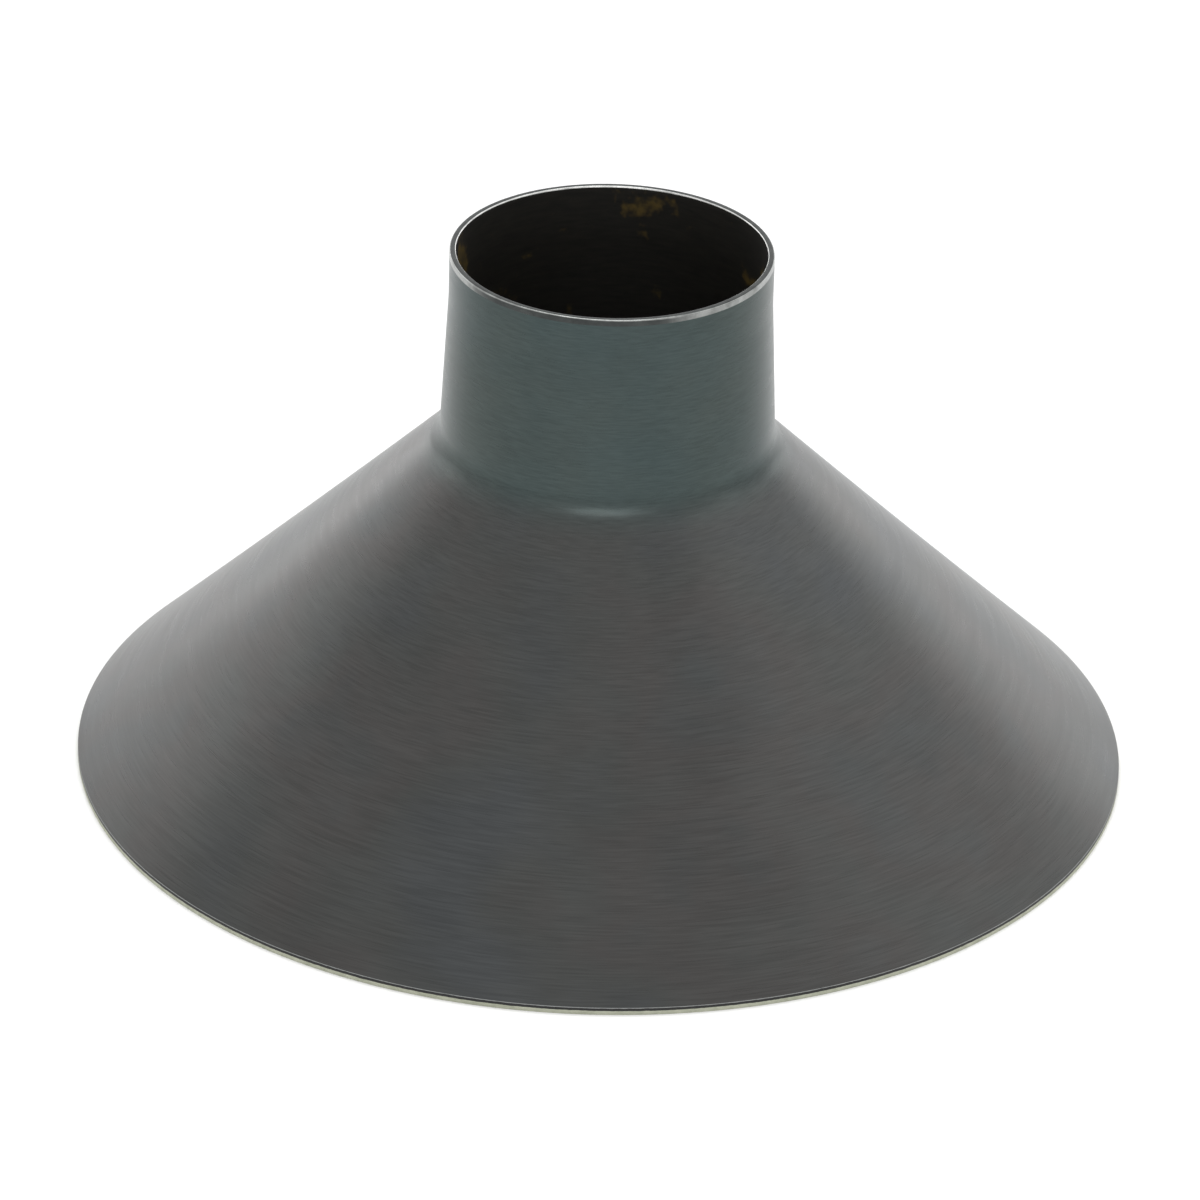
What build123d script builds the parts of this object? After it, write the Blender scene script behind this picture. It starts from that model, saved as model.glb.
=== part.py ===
from build123d import *
from math import cos, radians, tan
import os

os.makedirs("parts", exist_ok=True)

# Spun metal lampshade, standing on its wide mouth. Millimetres, +Z up along the axis of the spinning.
# Origin: centre of the mouth's edge, on the surface the shade rests on.

# Overall sizes, all on the outer skin
mouth_diameter = 190.0
overall_height = 99.5
collar_diameter = 57.5
wall = 1.2                 # sheet thickness, measured square to the skin

# Collar: a straight seat at the top, then a slight taper down to the cone
seat_length = 9.0
collar_taper = 2.8         # degrees from the axis

# Cone
cone_slope = 43.8          # degrees from the horizontal
blend_radius = 7.5         # outer skin, where the collar turns into the cone
taper_radius = 60.0        # outer skin, where the seat turns into the taper

# Trimmed edges
rest_width = 0.4           # flat ring that the mouth's edge stands on
rim_round = 0.35           # both edges of the collar's rim
mouth_round = 0.2          # outer corner of the mouth's edge
trim = 5.0                 # spare sheet beyond each end, cut off by the trimming

mouth_radius = mouth_diameter / 2
collar_radius = collar_diameter / 2
seat_bottom = overall_height - seat_length

# The mouth is trimmed parallel to the axis, so the sheet shows a face this high there
slope = radians(cone_slope)
edge_height = wall / cos(slope) - rest_width * tan(slope)

# Where the taper's line and the cone's line would meet without the blend
rise = seat_bottom - edge_height - mouth_radius * tan(slope)
throat_radius = (collar_radius + rise * tan(radians(collar_taper))) / (
    1 - tan(slope) * tan(radians(collar_taper))
)
throat_height = edge_height + (mouth_radius - throat_radius) * tan(slope)

# The skin's line runs on past the mouth, to be trimmed
trim_radius = mouth_radius + trim
trim_height = edge_height - trim * tan(slope)

with BuildPart() as shade:
    with BuildSketch(Plane.XZ) as section:
        with BuildLine() as skin:
            Polyline(
                (collar_radius, overall_height + trim),
                (collar_radius, seat_bottom),
                (throat_radius, throat_height),
                (trim_radius, trim_height),
            )
            throat = skin.vertices().sort_by_distance((throat_radius, throat_height))[0]
            fillet(throat, blend_radius)
            bend = skin.vertices().sort_by_distance((collar_radius, seat_bottom))[0]
            fillet(bend, taper_radius)
            offset(amount=wall, side=Side.RIGHT)
        make_face()
        with Locations((0, overall_height / 2)):
            Rectangle(2 * mouth_radius, overall_height, mode=Mode.INTERSECT)
        rim_corners = section.vertices().group_by(Axis.Y)[-1]
        fillet(rim_corners, rim_round)
        mouth_corner = section.vertices().group_by(Axis.X)[-1].sort_by(Axis.Y)[-1]
        fillet(mouth_corner, mouth_round)
    revolve(axis=Axis.Z)

shade.part.label = "shade"
export_step(shade.part, "parts/shade.step")
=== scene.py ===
"""Spun brass lampshade with a blackened, brushed finish, standing on its mouth on a pale studio floor."""

import bpy
import numpy as np
from mathutils import Matrix, Vector


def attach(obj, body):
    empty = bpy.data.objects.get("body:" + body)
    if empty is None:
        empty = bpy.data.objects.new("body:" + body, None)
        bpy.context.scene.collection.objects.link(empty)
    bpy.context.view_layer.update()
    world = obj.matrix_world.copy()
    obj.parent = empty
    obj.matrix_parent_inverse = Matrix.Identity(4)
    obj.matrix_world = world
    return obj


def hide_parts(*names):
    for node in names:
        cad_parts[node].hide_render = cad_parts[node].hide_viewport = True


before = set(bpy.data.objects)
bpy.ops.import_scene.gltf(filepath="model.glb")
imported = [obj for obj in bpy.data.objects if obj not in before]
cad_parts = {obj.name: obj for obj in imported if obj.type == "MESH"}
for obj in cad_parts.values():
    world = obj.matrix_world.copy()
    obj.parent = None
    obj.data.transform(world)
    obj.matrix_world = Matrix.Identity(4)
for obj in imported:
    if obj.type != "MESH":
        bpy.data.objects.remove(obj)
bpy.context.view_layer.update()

MM = 0.001

# Sizes of the shade in millimetres, the same as the solid's
MOUTH_RADIUS = 95.0
HEIGHT = 99.5
COLLAR_RADIUS = 28.75
WALL = 1.2
SEAT_BOTTOM = 90.5
THROAT = (30.07, 63.55)
EDGE_HEIGHT = 1.28
REST_WIDTH = 0.4
BLEND_RADIUS = 7.5
TAPER_RADIUS = 60.0
RIM_ROUND = 0.35
MOUTH_ROUND = 0.2

# What the solid leaves out, in millimetres: the slight hollow of the cone, and the lobes of hand-worked
# sheet, each with its count round the turn, its depth, and the angle that it starts at in radians
CONE_HOLLOW = 0.25
LOBES = ((2, 0.03, 0.7), (3, 0.02, 2.1))

# The inner skin starts this far above the floor and ends this far below the rim, next to the cut faces
INNER_START = 0.3
INNER_END = 2 * RIM_ROUND

# Points along each stretch of the outline, and steps round the axis
RIM_POINTS = 7
SEAT_POINTS = 8
BEND_POINTS = 8
COLLAR_POINTS = 14
BLEND_POINTS = 16
CONE_POINTS = 56
MOUTH_POINTS = 5
EDGE_POINTS = 12
TURN_STEPS = 400

# Outline stretches, numbered as the material slots of the mesh
SKIN, RIM, INSIDE, CUT_EDGE = range(4)

# Where one tone gives way to the next, from start to end of the change, in millimetres: heights on the skin,
# where the collar's painted shade begins, and on the trimmed edge, where its painted shadow and highlight
# lie, and radii across the worn rim
COLLAR_SHADE = (59.0, 66.0)
PALE_STRIP_END = (0.78, 0.88)
SHADOW_LINE_END = (1.30, 1.36)
STRIP_RAGGEDNESS = 0.2
BARE_CORNER_END = (27.64, 27.70)
RUBBED_CORNER_START = (28.52, 28.56)
RUBBED_CORNER_END = (28.68, 28.71)

# Sizes across of the patterns in the finishes, and in the painted shadow and reflection on the trimmed edge,
# in millimetres
BATH_CLOUD = 38.5
WAX_PATCH = 16.7
RIM_WEAR = 3.125
BARE_SPOT = 10.5
EDGE_NOTCH = 1.11
EDGE_MOTTLE = 2.0


def blended(before, corner, after, radius, steps):
    """Round a corner of an outline with an arc that touches both of its straight legs.

    The arc's centre is on the corner's bisector, at the radius divided by the sine of half its angle.
    """
    before, corner, after = (np.asarray(p, float) for p in (before, corner, after))
    leg_in = (before - corner) / np.linalg.norm(before - corner)
    leg_out = (after - corner) / np.linalg.norm(after - corner)
    half = np.arccos(np.clip(leg_in @ leg_out, -1, 1)) / 2
    middle = (leg_in + leg_out) / np.linalg.norm(leg_in + leg_out)
    centre = corner + middle * radius / np.sin(half)
    start = corner + leg_in * radius / np.tan(half) - centre
    end = corner + leg_out * radius / np.tan(half) - centre
    swing = np.arctan2(start[0] * end[1] - start[1] * end[0], start @ end)
    angles = np.linspace(0, swing, steps)
    turn = np.array([[np.cos(angles), -np.sin(angles)], [np.sin(angles), np.cos(angles)]])
    return centre + np.einsum("ijk,j->ki", turn, start)


def straight(start, end, steps):
    """Points evenly spaced from start to end, both left out."""
    share = np.linspace(0, 1, steps + 2)[1:-1, None]
    return np.asarray(start) * (1 - share) + np.asarray(end) * share


def shifted(outline, distance):
    """The outline moved square to itself, to its right as it runs, by the sheet's thickness."""
    along = np.gradient(outline, axis=0)
    along /= np.linalg.norm(along, axis=1)[:, None]
    return outline + distance * np.stack([along[:, 1], -along[:, 0]], axis=1)


def cone_slope(start, lip):
    """Outline of the cone from the blend down to the lip.

    It is the straight line between them, moved inwards by the hollow times 4 u (1 - u) at share u of it.
    """
    slope = straight(start, lip, CONE_POINTS)
    square = np.array([lip[1] - THROAT[1], THROAT[0] - lip[0]])
    square /= np.linalg.norm(square)
    share = np.linspace(0, 1, len(slope))
    return slope + square * (CONE_HOLLOW * 4 * share * (1 - share))[:, None]


def shade_outline():
    """Closed outline of the sheet's section as radius and height, with the slot number of each stretch.

    It runs down the outer skin from the rim, round the trimmed mouth, up the inner skin and over the rim.
    """
    top = (COLLAR_RADIUS, HEIGHT)
    bend = (COLLAR_RADIUS, SEAT_BOTTOM)
    lip = (MOUTH_RADIUS, EDGE_HEIGHT)
    foot = (MOUTH_RADIUS, 0.0)
    inner_foot = (MOUTH_RADIUS - REST_WIDTH, 0.0)
    inner_top = (COLLAR_RADIUS - WALL, HEIGHT)

    shoulder = blended((0, HEIGHT), top, bend, RIM_ROUND, RIM_POINTS)
    outer_bend = blended(top, bend, THROAT, TAPER_RADIUS, BEND_POINTS)
    outer_blend = blended(bend, THROAT, lip, BLEND_RADIUS, BLEND_POINTS)
    slope = cone_slope(outer_blend[-1], lip)
    skin = np.concatenate([
        straight(shoulder[-1], outer_bend[0], SEAT_POINTS), outer_bend,
        straight(outer_bend[-1], outer_blend[0], COLLAR_POINTS), outer_blend, slope,
    ])
    mouth_round = blended(slope[-1], lip, foot, MOUTH_ROUND, MOUTH_POINTS)
    edge = straight(mouth_round[-1], foot, EDGE_POINTS)
    rest = np.array([foot, inner_foot])
    inner = shifted(skin, WALL)[::-1]
    inner = inner[(inner[:, 1] > INNER_START) & (inner[:, 1] < HEIGHT - INNER_END)]
    inner_shoulder = blended(inner[-1], inner_top, top, RIM_ROUND, RIM_POINTS)
    stretches = [
        (shoulder, RIM), (skin, SKIN), (mouth_round, CUT_EDGE), (edge, CUT_EDGE), (rest, CUT_EDGE),
        (inner, INSIDE), (inner_shoulder, RIM),
    ]
    outline = np.concatenate([stretch for stretch, _ in stretches])
    slots = np.concatenate([np.full(len(stretch), number) for stretch, number in stretches])
    return outline, slots


def spun_surface(name, outline, slots):
    """Turn a closed outline round the axis.

    A point at angle t of the turn stands at (r cos t, r sin t, z), with r and z read from the outline. Each
    lobe lessens r by its depth times 1 + cos(count t + start), so the sheet is never wider than the outline.
    """
    rows = len(outline)
    angle = np.arange(TURN_STEPS) * 2 * np.pi / TURN_STEPS
    lobes = sum(depth * (1 + np.cos(count * angle + start)) for count, depth, start in LOBES)
    radius = outline[:, 0][:, None] - lobes[None, :]
    height = np.broadcast_to(outline[:, 1][:, None], radius.shape)
    grid = np.stack([radius * np.cos(angle), radius * np.sin(angle), height], axis=-1) * MM

    row, step = np.meshgrid(np.arange(rows), np.arange(TURN_STEPS), indexing="ij")
    next_row, next_step = (row + 1) % rows, (step + 1) % TURN_STEPS
    faces = np.stack([
        row * TURN_STEPS + step, next_row * TURN_STEPS + step,
        next_row * TURN_STEPS + next_step, row * TURN_STEPS + next_step,
    ], axis=-1).reshape(-1, 4)

    mesh = bpy.data.meshes.new(name)
    mesh.from_pydata(grid.reshape(-1, 3), [], faces)
    mesh.polygons.foreach_set("material_index", np.repeat(slots, TURN_STEPS).astype(np.int32))
    mesh.polygons.foreach_set("use_smooth", np.ones(len(faces), bool))

    # The grain of the turning: cosine and sine of the angle, and the way along the outline in millimetres
    length = np.concatenate([[0], np.cumsum(np.linalg.norm(np.diff(outline, axis=0), axis=1))])
    grain = np.stack(np.broadcast_arrays(
        np.cos(angle)[None, :], np.sin(angle)[None, :], length[:, None]), axis=-1)
    layer = mesh.attributes.new("grain", "FLOAT_VECTOR", "POINT")
    layer.data.foreach_set("vector", grain.reshape(-1).astype(np.float32))

    # Its map: once round the turn, once round the outline
    turns = np.stack([step, step, step + 1, step + 1], axis=-1) / TURN_STEPS
    across = np.stack([row, row + 1, row + 1, row], axis=-1) / rows
    uv = mesh.uv_layers.new(name="turned")
    uv.data.foreach_set("uv", np.stack([turns, across], axis=-1).reshape(-1).astype(np.float32))
    mesh.validate()
    mesh.update()
    piece = bpy.data.objects.new(name, mesh)
    bpy.context.scene.collection.objects.link(piece)
    return piece


def colour(code):
    """Linear colour with alpha from a six-figure sRGB code."""
    parts = [int(code[i:i + 2], 16) / 255 for i in (1, 3, 5)]
    return [p / 12.92 if p <= 0.04045 else ((p + 0.055) / 1.055) ** 2.4 for p in parts] + [1.0]


def node(tree, kind, inputs, **settings):
    """Add one shader node and return its outputs.

    Each input, by its name or number, is another node's output, a value, or a colour as its sRGB code.
    """
    made = tree.nodes.new("ShaderNode" + kind)
    for key, value in settings.items():
        setattr(made, key, value)
    for key, value in inputs.items():
        if isinstance(value, bpy.types.NodeSocket):
            tree.links.new(value, made.inputs[key])
        else:
            made.inputs[key].default_value = colour(value) if isinstance(value, str) else value
    return made.outputs


def between(tree, value, span, first, second, curve="LINEAR"):
    """Colour that runs from first to second as a value rises through a span, and stays level outside it."""
    share = node(tree, "MapRange", {"Value": value, "From Min": span[0], "From Max": span[1]},
                 interpolation_type=curve)["Result"]
    return node(tree, "Mix", {0: share, 6: first, 7: second}, data_type="RGBA")[2]


def stepped(tree, value, span, first, second):
    """Change of finish along a line on the shade, soft over a span in millimetres."""
    return between(tree, value, (span[0] * MM, span[1] * MM), first, second, "SMOOTHSTEP")


def new_metal(name):
    """Material with its Principled shader, and the place on the shade in metres."""
    material = bpy.data.materials.new(name)
    material.use_nodes = True
    tree = material.node_tree
    place = node(tree, "TexCoord", {})["Object"]
    return material, tree, tree.nodes["Principled BSDF"], place


def skin_metal():
    """Outer skin: brass spun on a lathe, brushed round the axis, then blackened in a bath and waxed.

    To the eye it is a dark grey with level brush lines, painted a little darker, cooler and greener on the
    collar as shade for the upright collar. It mirrors the white studio where it is seen at a flat angle.
    """
    material, tree, shader, place = new_metal("blackened_brass")
    grain = node(tree, "Attribute", {}, attribute_name="grain")["Vector"]

    # Brush lines, 3.2 to the millimetre and a ninth of the radius long. Real ones are too fine to show.
    line = node(tree, "Mapping", {"Vector": grain, "Scale": (9.0, 9.0, 3.2)})[0]
    fine = node(tree, "TexNoise", {"Vector": line, "Scale": 1.0, "Detail": 4.0, "Roughness": 0.6})["Fac"]
    # Marks of the spinning tool, 0.7 to the millimetre and a third of the radius long
    mark = node(tree, "Mapping", {"Vector": grain, "Location": (4.0, 1.0, 0.0), "Scale": (3.0, 3.0, 0.7)})[0]
    broad = node(tree, "TexNoise", {"Vector": mark, "Scale": 1.0, "Detail": 2.0, "Roughness": 0.5})["Fac"]
    # Clouds left by the bath, and patches of wax over them
    cloud = node(tree, "TexNoise", {
        "Vector": place, "Scale": 1 / (BATH_CLOUD * MM), "Detail": 3.0, "Roughness": 0.5})["Fac"]
    patch = node(tree, "TexNoise", {
        "Vector": place, "Scale": 1 / (WAX_PATCH * MM), "Detail": 2.0, "Roughness": 0.5})["Fac"]

    cone = between(tree, cloud, (0.34, 0.46), "#494B4C", "#4A4B4A")
    cone = between(tree, cloud, (0.46, 0.56), cone, "#4B4A49")
    cone = between(tree, cloud, (0.56, 0.68), cone, "#494B4B")
    # The collar's darker, greener tone is painted shade: the upright collar mirrors less light than the cone
    collar = between(tree, cloud, (0.35, 0.62), "#455050", "#4A5250")
    height = node(tree, "SeparateXYZ", {"Vector": place})["Z"]
    tone = stepped(tree, height, COLLAR_SHADE, cone, collar)
    wax = between(tree, patch, (0.3, 0.7), "#B4B4B4", "#C4C4C4")
    tone = node(tree, "Mix", {0: 0.5, 6: tone, 7: wax}, data_type="RGBA", blend_type="OVERLAY")[2]
    brushed = between(tree, fine, (0.35, 0.65), "#A0A0A0", "#D0D0D0")
    tone = node(tree, "Mix", {0: 0.35, 6: tone, 7: brushed}, data_type="RGBA", blend_type="OVERLAY")[2]
    tree.links.new(tone, shader.inputs["Base Color"])

    rough = node(tree, "Math", {0: fine, 1: 0.10, 2: 0.20}, operation="MULTIPLY_ADD")[0]
    rough = node(tree, "Math", {0: broad, 1: 0.08, 2: rough}, operation="MULTIPLY_ADD")[0]
    tree.links.new(rough, shader.inputs["Roughness"])
    relief = node(tree, "Bump", {"Height": fine, "Strength": 0.12, "Distance": 0.04 * MM})["Normal"]
    tree.links.new(relief, shader.inputs["Normal"])
    tangent = node(tree, "Tangent", {}, direction_type="UV_MAP", uv_map="turned")["Tangent"]
    tree.links.new(tangent, shader.inputs["Tangent"])
    shader.inputs["Metallic"].default_value = 1.0
    shader.inputs["Anisotropic"].default_value = 0.45
    return material


def rim_metal():
    """Rim of the collar: the sheet cut across, blackened and then worn by handling.

    To the eye it is a dark ring between two thin bright lines, where both corners have lost the blackening.
    """
    material, tree, shader, place = new_metal("worn_rim")
    worn = node(tree, "TexNoise", {
        "Vector": place, "Scale": 1 / (RIM_WEAR * MM), "Detail": 4.0, "Roughness": 0.6})["Fac"]
    flat = node(tree, "VectorMath", {0: place, 1: (1.0, 1.0, 0.0)}, operation="MULTIPLY")["Vector"]
    radius = node(tree, "VectorMath", {0: flat}, operation="LENGTH")["Value"]

    bare = between(tree, worn, (0.3, 0.6), "#A9AAA8", "#DADAD8")
    dull = between(tree, worn, (0.3, 0.7), "#3A3C3C", "#505352")
    rubbed = between(tree, worn, (0.3, 0.6), "#7C7E7C", "#A2A4A2")
    tone = stepped(tree, radius, BARE_CORNER_END, bare, dull)
    tone = stepped(tree, radius, RUBBED_CORNER_START, tone, rubbed)
    tone = stepped(tree, radius, RUBBED_CORNER_END, tone, dull)
    tree.links.new(tone, shader.inputs["Base Color"])
    rough = node(tree, "Math", {0: worn, 1: 0.2, 2: 0.15}, operation="MULTIPLY_ADD")[0]
    tree.links.new(rough, shader.inputs["Roughness"])
    shader.inputs["Metallic"].default_value = 1.0
    return material


def inside_metal():
    """Inside: the black of the bath left unpolished, with ochre where the brass shows through.

    To the eye it is nearly black, and faintly streaked round the turn.
    """
    material, tree, shader, place = new_metal("unpolished_inside")
    grain = node(tree, "Attribute", {}, attribute_name="grain")["Vector"]
    # Streaks, 1.4 to the millimetre and a sixth of the radius long, and spots worn through to the brass
    line = node(tree, "Mapping", {"Vector": grain, "Scale": (6.0, 6.0, 1.4)})[0]
    streak = node(tree, "TexNoise", {"Vector": line, "Scale": 1.0, "Detail": 3.0, "Roughness": 0.6})["Fac"]
    spots = node(tree, "TexNoise", {
        "Vector": place, "Scale": 1 / (BARE_SPOT * MM), "Detail": 4.0, "Roughness": 0.65})["Fac"]

    soot = between(tree, streak, (0.3, 0.7), "#12110E", "#201E19")
    tone = between(tree, spots, (0.60, 0.72), soot, "#5A4A22", "SMOOTHSTEP")
    tree.links.new(tone, shader.inputs["Base Color"])
    shader.inputs["Metallic"].default_value = 0.3
    shader.inputs["Roughness"].default_value = 0.55
    return material


def edge_metal():
    """Trimmed face round the mouth: raw metal dulled by handling, carrying a painted reflection of the floor,
    with painted shadow above it.

    To the eye it is a pale olive strip, then a ragged black line of painted shadow, then a thin light one at
    the corner, a painted highlight.
    """
    material, tree, shader, place = new_metal("trimmed_edge")
    ragged = node(tree, "TexNoise", {
        "Vector": place, "Scale": 1 / (EDGE_NOTCH * MM), "Detail": 3.0, "Roughness": 0.6})["Fac"]
    mottled = node(tree, "TexNoise", {
        "Vector": place, "Scale": 1 / (EDGE_MOTTLE * MM), "Detail": 3.0, "Roughness": 0.6})["Fac"]
    height = node(tree, "SeparateXYZ", {"Vector": place})["Z"]
    level = node(tree, "Math", {0: ragged, 1: STRIP_RAGGEDNESS * MM, 2: height}, operation="MULTIPLY_ADD")[0]

    # Pale strip: raw cut metal with a painted reflection of the floor
    pale = between(tree, mottled, (0.3, 0.7), "#A3A692", "#BBBDAA")
    # Ragged black line above it: painted shadow along the cut face
    tone = stepped(tree, level, PALE_STRIP_END, pale, "#0B0B0A")
    # Thin light line at the corner: painted highlight
    tone = stepped(tree, level, SHADOW_LINE_END, tone, "#8A8C8B")
    tree.links.new(tone, shader.inputs["Base Color"])
    shader.inputs["Metallic"].default_value = 0.0
    shader.inputs["Roughness"].default_value = 0.5
    return material


shade = spun_surface("shade_skin", *shade_outline())
for material in (skin_metal(), rim_metal(), inside_metal(), edge_metal()):
    shade.data.materials.append(material)
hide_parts("shade")
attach(shade, "root")

# The studio, in metres and watts: each soft box has its name, place, width, height and power, and faces
# the middle of the shade
FLOOR_REACH = 4.0
MIDDLE = (0.0, 0.0, 0.04)
SOFT_BOXES = (
    ("top_box", (0.0, 0.35, 1.6), 1.2, 1.2, 14.0),
    ("back_left_box", (-0.55, 1.3, 0.10), 0.6, 0.3, 1.1),
    ("back_right_box", (1.1, 1.5, 0.25), 1.2, 0.7, 3.0),
    ("left_box", (-1.15, 0.9, 0.44), 1.0, 0.7, 1.9),
    ("right_box", (1.2, 0.2, 1.0), 1.3, 1.3, 2.4),
    ("front_box", (0.0, -1.4, 0.85), 1.0, 0.5, 2.2),
)


def floor_sheet():
    """Wide plain floor for the shade to stand on, painted matt and nearly white."""
    mesh = bpy.data.meshes.new("studio_floor")
    corners = np.array([(-1, -1, 0), (1, -1, 0), (1, 1, 0), (-1, 1, 0)]) * FLOOR_REACH
    mesh.from_pydata(corners, [], [(0, 1, 2, 3)])
    paint = bpy.data.materials.new("pale_floor")
    paint.use_nodes = True
    shader = paint.node_tree.nodes["Principled BSDF"]
    shader.inputs["Base Color"].default_value = colour("#FAFAFA")
    shader.inputs["Roughness"].default_value = 0.9
    mesh.materials.append(paint)
    sheet = bpy.data.objects.new("studio_floor", mesh)
    bpy.context.scene.collection.objects.link(sheet)


def soft_light(name, place, width, height, watts):
    """Soft box that faces the middle of the shade."""
    lamp = bpy.data.lights.new(name, "AREA")
    lamp.shape = "RECTANGLE"
    lamp.size, lamp.size_y = width, height
    lamp.energy = watts
    box = bpy.data.objects.new(name, lamp)
    box.location = place
    box.rotation_euler = (Vector(MIDDLE) - Vector(place)).to_track_quat("-Z", "Y").to_euler()
    bpy.context.scene.collection.objects.link(box)


def studio_world():
    """White to the camera and in reflections, and a softer grey as light."""
    world = bpy.data.worlds.new("studio")
    bpy.context.scene.world = world
    world.use_nodes = True
    tree = world.node_tree
    path = node(tree, "LightPath", {})
    seen = node(tree, "Math", {0: path["Is Camera Ray"], 1: path["Is Glossy Ray"]}, operation="MAXIMUM")[0]
    seen = node(tree, "Math", {0: seen, 1: path["Is Transmission Ray"]}, operation="MAXIMUM")[0]
    tone = node(tree, "Mix", {0: seen, 6: "#D2D2D2", 7: "#FFFFFF"}, data_type="RGBA")[2]
    back = tree.nodes["Background"]
    tree.links.new(tone, back.inputs["Color"])
    back.inputs["Strength"].default_value = 1.0


floor_sheet()
studio_world()
for soft_box in SOFT_BOXES:
    soft_light(*soft_box)

# Camera, solved from the outline in the photograph: a long lens 28 degrees above the floor, rolled slightly
ELEVATION = np.radians(27.66)
ROLL = np.radians(1.565)
DISTANCE = 1.235
TARGET = Vector((0.0, 0.0, 0.0323))
FRAME_PIXELS = 1200
FOCAL_PIXELS = 6838.2
OFF_CENTRE_PIXELS = (-2.94, -11.74)
SENSOR_WIDTH = 36.0
FAR_CLIP = 50.0

ahead = Vector((0.0, np.cos(ELEVATION), -np.sin(ELEVATION)))
level = Vector((1.0, 0.0, 0.0))
above = level.cross(ahead)
right = level * np.cos(ROLL) + above * np.sin(ROLL)
up = above * np.cos(ROLL) - level * np.sin(ROLL)
lens = bpy.data.cameras.new("camera")
lens.sensor_width = SENSOR_WIDTH
lens.lens = FOCAL_PIXELS / FRAME_PIXELS * SENSOR_WIDTH
lens.shift_x, lens.shift_y = (offset / FRAME_PIXELS for offset in OFF_CENTRE_PIXELS)
lens.clip_end = FAR_CLIP
camera = bpy.data.objects.new("camera", lens)
axes = Matrix((right, up, -ahead)).transposed().to_4x4()
camera.matrix_world = Matrix.Translation(TARGET - ahead * DISTANCE) @ axes
bpy.context.scene.collection.objects.link(camera)
bpy.context.scene.camera = camera
bpy.context.scene.view_settings.view_transform = "Standard"
